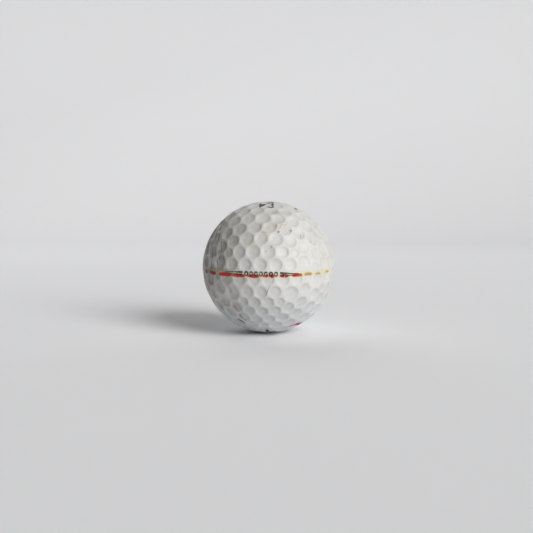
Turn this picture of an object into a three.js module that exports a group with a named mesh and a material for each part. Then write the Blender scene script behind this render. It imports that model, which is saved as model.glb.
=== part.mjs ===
// A four-layer golf ball: a solid rubber centre, two rubber half cups around it, a two-part
// ionomer mantle and a thin two-part urethane cover with 328 dimples.
// The two cover halves, mantle halves and half cups meet on one plane, the parting plane z = 0.
// Millimetres. The origin is the ball's centre, +Z runs through the pole of the upper half,
// and -Y faces the middle of the side stamp, less the small turn patternTurn.
import * as THREE from "three";
import { ConvexGeometry } from "three/addons/geometries/ConvexGeometry.js";
import { mergeVertices } from "three/addons/utils/BufferGeometryUtils.js";

// Driving dimensions.
const ballDiameter = 42.7;
const coverThickness = 0.85;
const mantleThickness = 0.9;
const innerCoreDiameter = 26;
const glueLine = 0.02;
const edgeAngle = 16.5;
const patternTurn = -6.5;

// How finely the pieces are faceted.
const layerRows = 12;
const equatorSides = layerRows * 4;
const rimSides = 10;
const bowlSides = 5;
const bowlRing = 0.55;
const insideRim = 0.999;

// The dimple pattern has the symmetry of a tetrahedron whose four-fold mirror axis is Z.
// Each family is one dimple beside the front meridian, as [turn, latitude, radius] in degrees of arc.
// The turns and mirrors of the tetrahedron place the family's other 3, 11 or 23 dimples.
const dimpleFamilies = [
  [0, 6.2, 5.3],
  [12.6, 6.1, 5.3],
  [24.8, 6.1, 5.3],
  [37.5, 7.4, 6.0],
  [6.4, 16.8, 5.8],
  [18.6, 16.3, 5.3],
  [29.2, 15.2, 4.1],
  [0, 28.2, 5.4],
  [13.5, 27.6, 6.0],
  [6.1, -5.9, 5.3],
  [18.1, -6.1, 5.5],
  [30.4, -6.0, 5.2],
  [41.0, -4.0, 3.5],
  [0, -16.6, 5.3],
  [11.9, -16.5, 5.4],
  [26.0, -17.8, 6.5],
  [16.7, -25.4, 4.1],
  [6.1, -25.8, 5.0],
  [0, -35.3, 5.0],
];
// Copies of a family closer than this many degrees are one dimple on a mirror plane.
const samePlace = 1.5;

// Sizes that follow from the driving dimensions.
const ballRadius = ballDiameter / 2;
const mantleOuterRadius = ballRadius - coverThickness - glueLine;
const coreOuterRadius = mantleOuterRadius - mantleThickness - glueLine;
const innerCoreRadius = innerCoreDiameter / 2;
const cupInnerRadius = innerCoreRadius + glueLine;

const urethane = new THREE.MeshStandardMaterial({ color: 0xe6e5e0, roughness: 0.42, metalness: 0 });
const ionomer = new THREE.MeshStandardMaterial({ color: 0xd9dcd2, roughness: 0.55, metalness: 0 });
const cupRubber = new THREE.MeshStandardMaterial({ color: 0x35506b, roughness: 0.8, metalness: 0 });
const coreRubber = new THREE.MeshStandardMaterial({ color: 0xb5543a, roughness: 0.85, metalness: 0 });

// A unit vector at a turn from the front meridian (-Y, towards +X) and a latitude, in degrees.
function direction(turn, latitude) {
  const polar = THREE.MathUtils.degToRad(90 - latitude);
  const azimuth = THREE.MathUtils.degToRad(turn - 90);
  return new THREE.Vector3(
    Math.sin(polar) * Math.cos(azimuth),
    Math.sin(polar) * Math.sin(azimuth),
    Math.cos(polar),
  );
}

// The 24 turns and mirrors of a tetrahedron whose corners are alternate corners of a cube:
// every exchange of the cube's three axes, with an even number of them reversed.
function tetrahedronMoves() {
  const exchanges = [[0, 1, 2], [1, 2, 0], [2, 0, 1], [0, 2, 1], [2, 1, 0], [1, 0, 2]];
  const reversals = [[1, 1, 1], [1, -1, -1], [-1, 1, -1], [-1, -1, 1]];
  const moves = [];
  for (const order of exchanges) {
    for (const sign of reversals) {
      moves.push((v) => {
        const from = v.toArray();
        return new THREE.Vector3(...order.map((axis, i) => sign[i] * from[axis]));
      });
    }
  }
  return moves;
}

// Every dimple, as its centre direction and its radius in radians.
function layOutDimples() {
  const upAxis = new THREE.Vector3(0, 0, 1);
  const ballToCube = new THREE.Quaternion().setFromAxisAngle(upAxis, -Math.PI / 4);
  const cubeToBall = ballToCube.clone().invert();
  const turned = new THREE.Quaternion().setFromAxisAngle(upAxis, THREE.MathUtils.degToRad(patternTurn));
  const mergeArc = THREE.MathUtils.degToRad(samePlace);
  const moves = tetrahedronMoves();
  const dimples = [];
  for (const [turn, latitude, radius] of dimpleFamilies) {
    const seed = direction(turn, latitude).applyQuaternion(ballToCube);
    const family = [];
    for (const move of moves) {
      const copy = move(seed);
      const twin = family.find((other) => other[0].angleTo(copy) < mergeArc);
      if (twin) twin.push(copy);
      else family.push([copy]);
    }
    for (const copies of family) {
      const centre = new THREE.Vector3();
      copies.forEach((copy) => centre.add(copy));
      centre.normalize().applyQuaternion(cubeToBall).applyQuaternion(turned);
      dimples.push({ centre, radius: THREE.MathUtils.degToRad(radius) });
    }
  }
  return dimples;
}

// The ball's radius in a direction: a dimple is a spherical cap whose wall meets the ball's
// surface at edgeAngle, and the lands between dimples, with the rims, lie on the ball.
function surfaceRadius(ray, dimples) {
  const dimple = dimples.find((one) => one.centre.angleTo(ray) < one.radius * insideRim);
  if (!dimple) return ballRadius;
  const rimRadius = ballRadius * Math.sin(dimple.radius);
  const rimHeight = ballRadius * Math.cos(dimple.radius);
  const capAngle = THREE.MathUtils.degToRad(edgeAngle) - dimple.radius;
  const capRadius = rimRadius / Math.sin(capAngle);
  const capHeight = rimHeight + capRadius * Math.cos(capAngle);
  const along = capHeight * Math.cos(dimple.centre.angleTo(ray));
  return along - Math.sqrt(capRadius ** 2 - capHeight ** 2 + along ** 2);
}

// Points on a unit circle round a centre direction, measured in radians of arc.
function ringAround(centre, arc, sides, phase) {
  const side = new THREE.Vector3(0, 0, 1).cross(centre).normalize();
  const start = centre.clone().applyAxisAngle(side, arc);
  const points = [];
  for (let i = 0; i < sides; i += 1) {
    points.push(start.clone().applyAxisAngle(centre, ((i + phase) / sides) * Math.PI * 2));
  }
  return points;
}

// The unit circle on the parting plane.
function equatorPoints() {
  const points = [];
  for (let i = 0; i < equatorSides; i += 1) {
    points.push(direction((i / equatorSides) * 360, 0));
  }
  return points;
}

// Evenly spread directions over the upper half, in rings from the parting plane to the pole.
function smoothPoints() {
  const points = equatorPoints();
  for (let row = 1; row < layerRows; row += 1) {
    const latitude = (row / layerRows) * 90;
    const sides = Math.round(equatorSides * Math.cos(THREE.MathUtils.degToRad(latitude)));
    for (let i = 0; i < sides; i += 1) {
      points.push(direction(((i + (row % 2) / 2) / sides) * 360, latitude));
    }
  }
  points.push(direction(0, 90));
  return points;
}

// The upper half's dimples as directions: each one's rim, a ring inside its bowl and its centre,
// with the parting plane's circle and the pole, which is a land.
function dimpledPoints(dimples) {
  const points = [...equatorPoints(), direction(0, 90)];
  for (const { centre, radius } of dimples.filter((one) => one.centre.z > 0)) {
    points.push(...ringAround(centre, radius, rimSides, 0));
    points.push(...ringAround(centre, radius * bowlRing, bowlSides, 1 / 2));
    points.push(centre.clone());
  }
  return points;
}

// The triangles of an open dome through upper-half directions, facing out, as unit vectors.
// The convex hull of the directions and of the lower pole joins neighbours into triangles,
// and those that reach the lower pole are left out.
function domeTriangles(points) {
  const lowerPole = direction(0, -90);
  const hull = new ConvexGeometry([...points, lowerPole]).getAttribute("position");
  const triangles = [];
  for (let i = 0; i < hull.count; i += 3) {
    const corners = [0, 1, 2].map((k) => new THREE.Vector3().fromBufferAttribute(hull, i + k));
    if (corners.every((corner) => corner.z > -0.5)) triangles.push(corners);
  }
  return triangles;
}

// The flat ring on the parting plane from an inner to an outer radius, facing down.
function partingFace(innerRadius, outerRadius) {
  const circle = equatorPoints();
  const triangles = [];
  circle.forEach((here, i) => {
    const next = circle[(i + 1) % circle.length];
    const [innerHere, innerNext] = [here, next].map((v) => v.clone().multiplyScalar(innerRadius));
    const [outerHere, outerNext] = [here, next].map((v) => v.clone().multiplyScalar(outerRadius));
    triangles.push([outerHere, innerHere, outerNext], [innerHere, innerNext, outerNext]);
  });
  return triangles;
}

// Triangles with each direction pushed out to its radius; flipped ones face in.
function scaled(triangles, radiusOf, flipped = false) {
  return triangles.map((corners) => {
    const placed = corners.map((v) => v.clone().normalize().multiplyScalar(radiusOf(v)));
    return flipped ? placed.reverse() : placed;
  });
}

// The same triangles in the lower half, still facing out.
function mirroredDown(triangles) {
  return triangles.map((corners) =>
    corners.map((v) => new THREE.Vector3(v.x, v.y, -v.z)).reverse(),
  );
}

function solidFrom(name, triangles, material) {
  const geometry = new THREE.BufferGeometry();
  geometry.setFromPoints(triangles.flat());
  const merged = mergeVertices(geometry, 1e-4);
  merged.computeVertexNormals();
  const mesh = new THREE.Mesh(merged, material);
  mesh.name = name;
  return mesh;
}

const allDimples = layOutDimples();
const smoothDome = domeTriangles(smoothPoints());

// A half shell above the parting plane, with a smooth outside and inside.
function shellTriangles(innerRadius, outerRadius) {
  return [
    ...scaled(smoothDome, () => outerRadius),
    ...scaled(smoothDome, () => innerRadius, true),
    ...partingFace(innerRadius, outerRadius),
  ];
}

// A half shell above the parting plane, dimpled outside.
function coverTriangles(dimples) {
  const dome = domeTriangles(dimpledPoints(dimples));
  return [
    ...scaled(dome, (v) => surfaceRadius(v, dimples)),
    ...scaled(smoothDome, () => ballRadius - coverThickness, true),
    ...partingFace(ballRadius - coverThickness, ballRadius),
  ];
}

function makeCoverUpper() {
  return solidFrom("cover_upper", coverTriangles(allDimples), urethane);
}

// The lower half is made above the parting plane, from the mirrored dimples, and mirrored back.
function makeCoverLower() {
  const mirroredDimples = allDimples.map(({ centre, radius }) => ({
    centre: new THREE.Vector3(centre.x, centre.y, -centre.z),
    radius,
  }));
  return solidFrom("cover_lower", mirroredDown(coverTriangles(mirroredDimples)), urethane);
}

function makeMantleUpper() {
  return solidFrom("mantle_upper", shellTriangles(coreOuterRadius + glueLine, mantleOuterRadius), ionomer);
}

function makeMantleLower() {
  const shell = shellTriangles(coreOuterRadius + glueLine, mantleOuterRadius);
  return solidFrom("mantle_lower", mirroredDown(shell), ionomer);
}

function makeOuterCoreUpper() {
  return solidFrom("outer_core_upper", shellTriangles(cupInnerRadius, coreOuterRadius), cupRubber);
}

function makeOuterCoreLower() {
  const cup = shellTriangles(cupInnerRadius, coreOuterRadius);
  return solidFrom("outer_core_lower", mirroredDown(cup), cupRubber);
}

function makeInnerCore() {
  const dome = scaled(smoothDome, () => innerCoreRadius);
  return solidFrom("inner_core", [...dome, ...mirroredDown(dome)], coreRubber);
}

const golfBall = new THREE.Group();
golfBall.add(
  makeInnerCore(),
  makeOuterCoreUpper(),
  makeOuterCoreLower(),
  makeMantleUpper(),
  makeMantleLower(),
  makeCoverUpper(),
  makeCoverLower(),
);

export default golfBall;
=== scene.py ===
import math
import bpy
import numpy as np
from mathutils import Matrix, Vector


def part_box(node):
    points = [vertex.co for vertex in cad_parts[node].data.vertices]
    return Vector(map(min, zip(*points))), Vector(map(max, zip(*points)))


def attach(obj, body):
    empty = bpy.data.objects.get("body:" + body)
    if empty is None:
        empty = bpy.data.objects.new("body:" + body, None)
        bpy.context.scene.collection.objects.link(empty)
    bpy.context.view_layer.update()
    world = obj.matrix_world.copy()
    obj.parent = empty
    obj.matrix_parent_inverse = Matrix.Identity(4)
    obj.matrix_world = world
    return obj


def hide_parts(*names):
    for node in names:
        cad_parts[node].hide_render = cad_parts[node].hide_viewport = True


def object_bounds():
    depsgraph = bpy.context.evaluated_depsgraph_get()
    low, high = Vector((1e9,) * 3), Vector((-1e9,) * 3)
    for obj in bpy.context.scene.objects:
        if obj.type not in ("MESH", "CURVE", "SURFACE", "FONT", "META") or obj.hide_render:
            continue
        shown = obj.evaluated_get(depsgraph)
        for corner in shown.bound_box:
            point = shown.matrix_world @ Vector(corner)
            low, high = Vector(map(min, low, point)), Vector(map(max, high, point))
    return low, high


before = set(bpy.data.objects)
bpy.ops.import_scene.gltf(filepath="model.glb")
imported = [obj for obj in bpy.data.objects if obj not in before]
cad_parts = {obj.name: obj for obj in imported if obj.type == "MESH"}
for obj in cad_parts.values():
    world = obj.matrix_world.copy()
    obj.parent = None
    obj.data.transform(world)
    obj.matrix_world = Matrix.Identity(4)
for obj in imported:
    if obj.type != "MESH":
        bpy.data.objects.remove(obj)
cadLow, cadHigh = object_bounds()
ballRadius = (cadHigh.x - cadLow.x) / 2
print("frame loaded, ball radius", round(ballRadius * 1000, 3), "mm")


def hexColour(code):
    # sRGB hex to the linear colour that the shader sockets take
    parts = [int(code[i:i + 2], 16) / 255 for i in (1, 3, 5)]
    return tuple(c / 12.92 if c <= 0.04045 else ((c + 0.055) / 1.055) ** 2.4 for c in parts) + (1.0,)


def addNode(tree, kind, links=None, **settings):
    # adds a node with its settings; a link is a value, a socket or a node whose first output is used
    node = tree.nodes.new(kind)
    for name, value in settings.items():
        setattr(node, name, value)
    for key, value in (links or {}).items():
        if isinstance(value, bpy.types.Node):
            value = value.outputs[0]
        if isinstance(value, bpy.types.NodeSocket):
            tree.links.new(value, node.inputs[key])
        else:
            node.inputs[key].default_value = value
    return node


def newMaterial(name):
    material = bpy.data.materials.new(name)
    material.use_nodes = True
    tree = material.node_tree
    tree.nodes.clear()
    shader = addNode(tree, "ShaderNodeBsdfPrincipled")
    addNode(tree, "ShaderNodeOutputMaterial", {"Surface": shader})
    return material, tree, shader


def onBall(turn, latitude):
    # unit direction at a turn from -Y towards +X and a latitude above the parting plane, in degrees
    a, b = math.radians(turn), math.radians(latitude)
    return Vector((math.cos(b) * math.sin(a), -math.cos(b) * math.cos(a), math.sin(b)))


def markFrame(turn, latitude, tilt):
    # the rotation whose X runs east, Y north and Z out of the ball there, tilted about Z
    out = onBall(turn, latitude)
    east = Vector((0, 0, 1)).cross(out).normalized()
    north = out.cross(east)
    local = Matrix((east, north, out)).transposed()
    return (local @ Matrix.Rotation(math.radians(tilt), 3, "Z")).to_euler()


# How a cover half's dimples are read: depths in metres below the ball's surface.
dimpleReading = {
    "bowlDepth": 0.00005,    # anything sunk more than this is inside a dimple
    "landDepth": 0.000005,   # anything sunk less than this is on a land
    "shellDepth": 0.0006,    # deeper than this is the cover's inner wall
    "nearby": 4.2,           # degrees; wider than any bowl ring, narrower than two dimples' spacing
    "reachMargin": 0.004,    # puts the marker of even the widest dimple below its rim
}


def readDimples(nodeName):
    # each dimple of a cover half: its centre direction, its rim's angle and its depth
    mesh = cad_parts[nodeName].data
    points = np.empty(len(mesh.vertices) * 3)
    mesh.vertices.foreach_get("co", points)
    points = np.unique(points.reshape(-1, 3).round(7), axis=0)
    reach = np.linalg.norm(points, axis=1)
    outer = reach > ballRadius - dimpleReading["shellDepth"]
    points, reach = points[outer], reach[outer]
    sunk = ballRadius - reach
    rays = points / reach[:, None]
    angles = np.arccos(np.clip(rays @ rays.T, -1, 1))
    near = angles < math.radians(dimpleReading["nearby"])
    deepest = np.where(near, sunk[None, :], 0).max(axis=1)
    bottoms = np.flatnonzero((sunk > dimpleReading["bowlDepth"]) & (sunk >= deepest))
    lands = sunk < dimpleReading["landDepth"]
    return [(rays[i], angles[i][lands].min(), sunk[i]) for i in bottoms]


def makeMarkers(name, dimples):
    # One point for each dimple, on a sphere of radius 1. It is sunk so far that, from anywhere
    # inside a rim, that dimple's point is the nearest one, whatever the neighbours' sizes.
    rims = np.array([rim for _, rim, _ in dimples])
    reachSquared = np.sin(rims.max()) ** 2 + dimpleReading["reachMargin"]
    sinks = np.cos(rims) - np.sqrt(reachSquared - np.sin(rims) ** 2)
    centres = np.array([centre for centre, _, _ in dimples])
    mesh = bpy.data.meshes.new(name)
    mesh.from_pydata((centres * sinks[:, None]).tolist(), [], [])
    mesh.attributes.new("rimChord", "FLOAT", "POINT").data.foreach_set("value", 2 * np.sin(rims / 2))
    depths = np.array([depth for _, _, depth in dimples])
    mesh.attributes.new("bottomDepth", "FLOAT", "POINT").data.foreach_set("value", depths)
    mesh.attributes.new("centre", "FLOAT_VECTOR", "POINT").data.foreach_set("vector", centres.ravel())
    markers = bpy.data.objects.new(name, mesh)
    bpy.context.scene.collection.objects.link(markers)
    return markers


shellSizes = {
    "coverCells": 208,         # grid cells along a side of each dome: about 0.26 mm apart
    "layerCells": 64,          # the inner layers are plain domes, so theirs are wider
    "edgeSoftness": 0.00002,   # m; rims worn round over about half a millimetre
    "buffedBand": 0.0003,      # m; the parting line is buffed flat over this height
    "bowlPower": 3.1,          # 2 is a round bowl; more makes its floor flatter and its wall steeper
    "sharpAngle": 50,          # degrees; only the parting face's edges are sharper
    "mergeReach": 0.000002,    # m; points nearer to each other than this become one
    "planeReach": 0.000001,    # m; points nearer than this to the parting plane lie on it
}


def buildShellTree():
    # A half shell: a square grid is wrapped evenly on to a dome, twice, and the two domes are
    # joined by a flat ring on the parting plane. The outer dome sinks into dimples.
    tree = bpy.data.node_groups.new("halfShell", "GeometryNodeTree")
    inputs = {
        "Start": "NodeSocketGeometry", "Cells": "NodeSocketInt", "Outer Radius": "NodeSocketFloat",
        "Inner Radius": "NodeSocketFloat", "Side": "NodeSocketFloat", "Edge Softness": "NodeSocketFloat",
        "Bowl Power": "NodeSocketFloat", "Buffed Band": "NodeSocketFloat",
        "Whole Ball": "NodeSocketBool", "Dimples": "NodeSocketObject", "Material": "NodeSocketMaterial",
    }
    for name, kind in inputs.items():
        tree.interface.new_socket(name, in_out="INPUT", socket_type=kind)
    tree.interface.new_socket("Shell", in_out="OUTPUT", socket_type="NodeSocketGeometry")
    given = addNode(tree, "NodeGroupInput").outputs
    place = addNode(tree, "GeometryNodeInputPosition")

    # the grid, from -1 to 1, wrapped on to a unit dome with equal areas and its edge on the circle
    sideCount = addNode(tree, "ShaderNodeMath", {0: given["Cells"], 1: 1.0}, operation="ADD")
    grid = addNode(tree, "GeometryNodeMeshGrid", {
        "Size X": 2.0, "Size Y": 2.0, "Vertices X": sideCount, "Vertices Y": sideCount})
    positive = addNode(tree, "ShaderNodeVectorMath", {0: place}, operation="ABSOLUTE")
    sides = addNode(tree, "ShaderNodeSeparateXYZ", {0: positive}).outputs
    reach = addNode(tree, "ShaderNodeMath", {0: sides["X"], 1: sides["Y"]}, operation="MAXIMUM")
    reachTwice = addNode(tree, "ShaderNodeCombineXYZ", {"X": reach, "Y": reach, "Z": 1.0})
    share = addNode(tree, "ShaderNodeVectorMath", {0: place, 1: reachTwice}, operation="DIVIDE")
    octant = addNode(tree, "ShaderNodeVectorMath", {0: share, "Scale": math.pi / 4}, operation="SCALE")
    slope = addNode(tree, "ShaderNodeVectorMath", {0: octant}, operation="TANGENT")
    aim = addNode(tree, "ShaderNodeVectorMath", {0: slope}, operation="NORMALIZE")
    reachSquared = addNode(tree, "ShaderNodeMath", {0: reach, 1: reach}, operation="MULTIPLY")
    height = addNode(tree, "ShaderNodeMath", {0: 1.0, 1: reachSquared}, operation="SUBTRACT")
    rest = addNode(tree, "ShaderNodeMath", {0: 2.0, 1: reachSquared}, operation="SUBTRACT")
    restRoot = addNode(tree, "ShaderNodeMath", {0: rest}, operation="SQRT")
    flatReach = addNode(tree, "ShaderNodeMath", {0: reach, 1: restRoot}, operation="MULTIPLY")
    flat = addNode(tree, "ShaderNodeVectorMath", {0: aim, "Scale": flatReach}, operation="SCALE")
    sidedHeight = addNode(tree, "ShaderNodeMath", {0: height, 1: given["Side"]}, operation="MULTIPLY")
    lift = addNode(tree, "ShaderNodeCombineXYZ", {"Z": sidedHeight})
    ray = addNode(tree, "ShaderNodeVectorMath", {0: flat, 1: lift}, operation="ADD")
    dome = addNode(tree, "GeometryNodeSetPosition", {"Geometry": grid, "Position": ray})

    # each point finds its dimple and sinks into its bowl, rounded off at the rim
    markers = addNode(tree, "GeometryNodeObjectInfo", {"Object": given["Dimples"]}).outputs["Geometry"]
    found = addNode(tree, "GeometryNodeSampleNearest", {"Geometry": markers, "Sample Position": place})
    read = {}
    for name, kind in (("rimChord", "FLOAT"), ("bottomDepth", "FLOAT"), ("centre", "FLOAT_VECTOR")):
        value = addNode(tree, "GeometryNodeInputNamedAttribute", {"Name": name}, data_type=kind)
        read[name] = addNode(tree, "GeometryNodeSampleIndex", {
            "Geometry": markers, "Value": value, "Index": found}, data_type=kind)
    offset = addNode(tree, "ShaderNodeVectorMath", {0: place, 1: read["centre"]}, operation="DISTANCE")
    across = addNode(tree, "ShaderNodeMath", {
        0: offset.outputs["Value"], 1: read["rimChord"]}, operation="DIVIDE")
    steep = addNode(tree, "ShaderNodeMath", {0: across, 1: given["Bowl Power"]}, operation="POWER")
    bowl = addNode(tree, "ShaderNodeMath", {0: 1.0, 1: steep}, operation="SUBTRACT")
    sink = addNode(tree, "ShaderNodeMath", {0: bowl, 1: read["bottomDepth"]}, operation="MULTIPLY")
    worn = addNode(tree, "ShaderNodeMath", {
        0: sink, 1: 0.0, 2: given["Edge Softness"]}, operation="SMOOTH_MAX")
    up = addNode(tree, "ShaderNodeSeparateXYZ", {0: place}).outputs["Z"]
    upSize = addNode(tree, "ShaderNodeMath", {0: up}, operation="ABSOLUTE")
    upLength = addNode(tree, "ShaderNodeMath", {0: upSize, 1: given["Outer Radius"]}, operation="MULTIPLY")
    buffed = addNode(tree, "ShaderNodeMath", {0: upLength, 1: given["Buffed Band"]}, operation="DIVIDE")
    buffed.use_clamp = True
    depth = addNode(tree, "ShaderNodeMath", {0: worn, 1: buffed}, operation="MULTIPLY")
    radius = addNode(tree, "ShaderNodeMath", {0: given["Outer Radius"], 1: depth}, operation="SUBTRACT")
    outerPlace = addNode(tree, "ShaderNodeVectorMath", {0: place, "Scale": radius}, operation="SCALE")
    tagged = addNode(tree, "GeometryNodeStoreNamedAttribute", {
        "Geometry": dome, "Name": "rimShare", "Value": across}, data_type="FLOAT", domain="POINT")
    outer = addNode(tree, "GeometryNodeSetPosition", {"Geometry": tagged, "Position": outerPlace})
    innerPlace = addNode(tree, "ShaderNodeVectorMath", {
        0: place, "Scale": given["Inner Radius"]}, operation="SCALE")
    innerDome = addNode(tree, "GeometryNodeSetPosition", {"Geometry": dome, "Position": innerPlace})
    inner = addNode(tree, "GeometryNodeFlipFaces", {"Mesh": innerDome})

    # the parting face: a strip of one cell's width bent into a ring, with the domes' own spacing
    ringCells = addNode(tree, "ShaderNodeMath", {
        0: given["Cells"], 1: 4.0, 2: 1.0}, operation="MULTIPLY_ADD")
    strip = addNode(tree, "GeometryNodeMeshGrid", {
        "Size X": 2 * math.pi, "Size Y": 1.0, "Vertices X": ringCells, "Vertices Y": 2})
    along = addNode(tree, "ShaderNodeSeparateXYZ", {0: place}).outputs
    ringRadius = addNode(tree, "ShaderNodeMapRange", {
        "Value": along["Y"], "From Min": -0.5, "From Max": 0.5,
        "To Min": given["Inner Radius"], "To Max": given["Outer Radius"]})
    cosine = addNode(tree, "ShaderNodeMath", {0: along["X"]}, operation="COSINE")
    sine = addNode(tree, "ShaderNodeMath", {0: along["X"]}, operation="SINE")
    circle = addNode(tree, "ShaderNodeCombineXYZ", {"X": cosine, "Y": sine})
    ringPlace = addNode(tree, "ShaderNodeVectorMath", {0: circle, "Scale": ringRadius}, operation="SCALE")
    ring = addNode(tree, "GeometryNodeSetPosition", {"Geometry": strip, "Position": ringPlace})

    half = addNode(tree, "GeometryNodeJoinGeometry")
    for part in (ring, inner, outer):
        tree.links.new(part.outputs[0], half.inputs[0])
    lowerSide = addNode(tree, "FunctionNodeCompare", {0: given["Side"], 1: 0.0}, operation="LESS_THAN")
    turned = addNode(tree, "GeometryNodeFlipFaces", {"Mesh": half, "Selection": lowerSide})

    # a whole ball is the outer dome and its mirror image
    mirror = addNode(tree, "GeometryNodeTransform", {"Geometry": outer, "Scale": (1, 1, -1)})
    mirrorOut = addNode(tree, "GeometryNodeFlipFaces", {"Mesh": mirror})
    whole = addNode(tree, "GeometryNodeJoinGeometry")
    for part in (mirrorOut, outer):
        tree.links.new(part.outputs[0], whole.inputs[0])
    chosen = addNode(tree, "GeometryNodeSwitch", {
        "Switch": given["Whole Ball"], "False": turned, "True": whole}, input_type="GEOMETRY")
    merged = addNode(tree, "GeometryNodeMergeByDistance", {
        "Geometry": chosen, "Distance": shellSizes["mergeReach"]})
    smooth = addNode(tree, "GeometryNodeSetShadeSmooth", {"Geometry": merged})
    real = addNode(tree, "GeometryNodeRealizeInstances", {"Geometry": smooth})
    coated = addNode(tree, "GeometryNodeSetMaterial", {"Geometry": real, "Material": given["Material"]})
    addNode(tree, "NodeGroupOutput", {"Shell": coated})
    return tree


shellTree = buildShellTree()


def makeShell(name, node, sizes):
    # runs the tree with these sizes, keeps the result as a plain mesh and puts it in the node's place
    maker = bpy.data.objects.new(name + "Maker", bpy.data.meshes.new(name + "Start"))
    bpy.context.scene.collection.objects.link(maker)
    modifier = maker.modifiers.new("shell", "NODES")
    modifier.node_group = shellTree
    for socket in shellTree.interface.items_tree:
        if socket.name in sizes:
            modifier[socket.identifier] = sizes[socket.name]
    graph = bpy.context.evaluated_depsgraph_get()
    mesh = bpy.data.meshes.new_from_object(maker.evaluated_get(graph))
    maker.modifiers.remove(modifier)
    bpy.data.objects.remove(maker)
    mesh.name = name
    mesh.set_sharp_from_angle(angle=math.radians(shellSizes["sharpAngle"]))
    shell = bpy.data.objects.new(name, mesh)
    bpy.context.scene.collection.objects.link(shell)
    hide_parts(node)
    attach(shell, "root")
    print("made", name, len(mesh.polygons), "faces")


def partingRadii(nodeName):
    # the inner and outer radius of a half shell, where it meets the parting plane
    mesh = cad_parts[nodeName].data
    reaches = [v.co.length for v in mesh.vertices if abs(v.co.z) < shellSizes["planeReach"]]
    return min(reaches), max(reaches)


# Cast thermoset urethane, pigmented white and clear-coated, then played with: the clear coat is
# dulled by turf and club faces, so it shows a satin sheen, faint grime and a warm, uneven white.
# Its colour also carries painted shade, in the bowls and on the side away from the key, and a
# painted bluish bounce light on the underside.
coverFinish = {
    "white": "#DAD9D6",
    "hazeSize": 9.0,               # mm, the size of the warm clouds
    "warmWhite": "#D0CDC2", "warmFrom": 0.42, "warmTo": 0.72, "warmShare": 0.7,
    "smudgesPerCloud": 2.2,        # how many times finer the grey smudges are
    "greyHaze": "#C6C7C8", "greyFrom": 0.5, "greyTo": 0.75, "greyShare": 0.55,
    "paintedBounceTint": "#CDD6E2",         # painted bluish bounce light: the underside is tinted bluer
    "bounceTintFrom": -3.0, "bounceTintTo": -17.0, "bounceTintShare": 0.4,      # mm above the parting plane
    "speck": "#8E7F6A",
    "speckSpacing": 1.7,           # mm between specks of soil
    "speckReach": 0.07, "speckEdge": 0.04, "speckStrength": 0.55,   # sizes in shares of the spacing
    "speckKept": 0.25, "keptEdge": 0.02,                      # the share of the specks that is left
    "grimeAndShadeColour": "#857D75",            # soil and turf that the bowls hold, and painted shade in them
    "bowlGrimeAndShade": 0.08,             # how much of it there is everywhere
    "rimGrimeAndShade": 0.18,             # and how much more just inside each rim, as grime and painted shade
    "landShare": 0.42, "fullAt": 0.5,      # how much the lands hold, and how deep a bowl holds all
    "unevenFrom": 0.35, "unevenTo": 0.65, "unevenLeast": 0.6, "unevenMost": 1.15,
    "rimFrom": 0.03, "rimRise": 0.02, "rimTo": 0.34, "rimFade": 0.28,   # shares of a bowl's depth
    "sideEdge": 0.45, "stainEdge": 0.45,   # how soft the edges of the soiled and shaded sides and of stains are
    "markDepth": 2.0,              # mm into the ball that a mark's oval reaches
    "ragSize": 0.625,              # mm, the size of the wanderings of ink edges
    "inkRag": 0.35,                # mm that ink edges wander
    "inkGrain": 0.8,               # mm, the size of the flakes that ink has lost
    "printHolds": (0.34, 0.5, 0.25),       # the flake noise where ink starts to hold and holds fully,
    "redHolds": (0.3, 0.44, 0.45),         # and how much of it is left where it doesn't
    "scuffSize": 0.35,             # mm, the grain of dulled clear coat
    "scuffHeight": 0.000012,       # m
    "wornRelief": -0.00009,        # m, how much deeper worn paint and grime make the bowls look
    "roughness": 0.55, "roughnessSwing": 0.16, "landRougher": 0.06, "bowlRougher": -0.04,
    "ior": 1.5, "coatWeight": 0.06, "coatRoughness": 0.35,
}

# The side stamp: a row of plain rings between two tapered, split wings, in dark grey pad-print
# ink. Places are in degrees, sizes in mm, and the rings' edges in shares of their half size.
sideStamp = {
    "turn": -6.0, "latitude": -1.2, "tilt": -1.1, "colour": "#201F1D", "strength": 0.98,
    "ringPitch": 1.5, "ringWide": 0.68, "ringTall": 0.8, "rowEnd": 5.25, "holeShare": 0.34,
    "wingStart": 5.7, "wingEnd": 12.3, "wingTall": 0.74, "tipTall": 0.16, "split": 0.09,
    "ringEdge": 0.18, "holeEdge": 0.12, "fineEdge": 0.05, "wingEdge": 0.08, "tipEdge": 0.12,
}

# A line drawn round the ball with a marker pen, just under the parting line. The red is worn off
# in patches and leaves a yellowed cream stain. Places are [from turn, to turn, latitude, half
# height in mm, strength] in degrees, one row for each stretch of colour that is left.
markerLine = {
    "latitude": -2.7, "halfHeight": 0.62, "from": -45, "to": 64,
    "sag": 0.0012,        # the line rises from its middle by this times the distance in mm squared
    "edge": 0.22, "startFade": 1.0, "endFade": 0.5, "stretchEdge": 0.25,
    "cream": "#D9CF88", "creamStrength": 0.8,
    "red": "#C01420", "dullRed": "#941A20", "brown": "#A87260",
    # the shaded red is the red darkened as painted shade, on the side away from the key
    "shadedRedStretches": [
        [-118, -98, -2.6, 0.5, 0.7], [-92, -76, -1.6, 0.6, 0.9], [-72, -62, -2.0, 0.6, 0.9],
        [-60.5, -49, -2.3, 0.66, 1.0]],
    "redStretches": [
        [-46.5, -30, -2.5, 0.66, 1.0], [-31, -18.5, -2.8, 0.56, 1.0], [-17.5, -7, -3.0, 0.58, 1.0],
        [-4.8, 0.3, -2.8, 0.52, 1.0], [0.3, 5.2, -2.7, 0.6, 1.0], [9.2, 16.6, -2.8, 0.55, 1.0],
        [19, 28.6, -2.4, 0.6, 1.0]],
    "brownStretches": [
        [30.5, 38.5, -2.0, 0.5, 0.75], [42, 49, -2.2, 0.36, 0.6], [56, 62.5, -1.4, 0.36, 0.7]],
}

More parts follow.
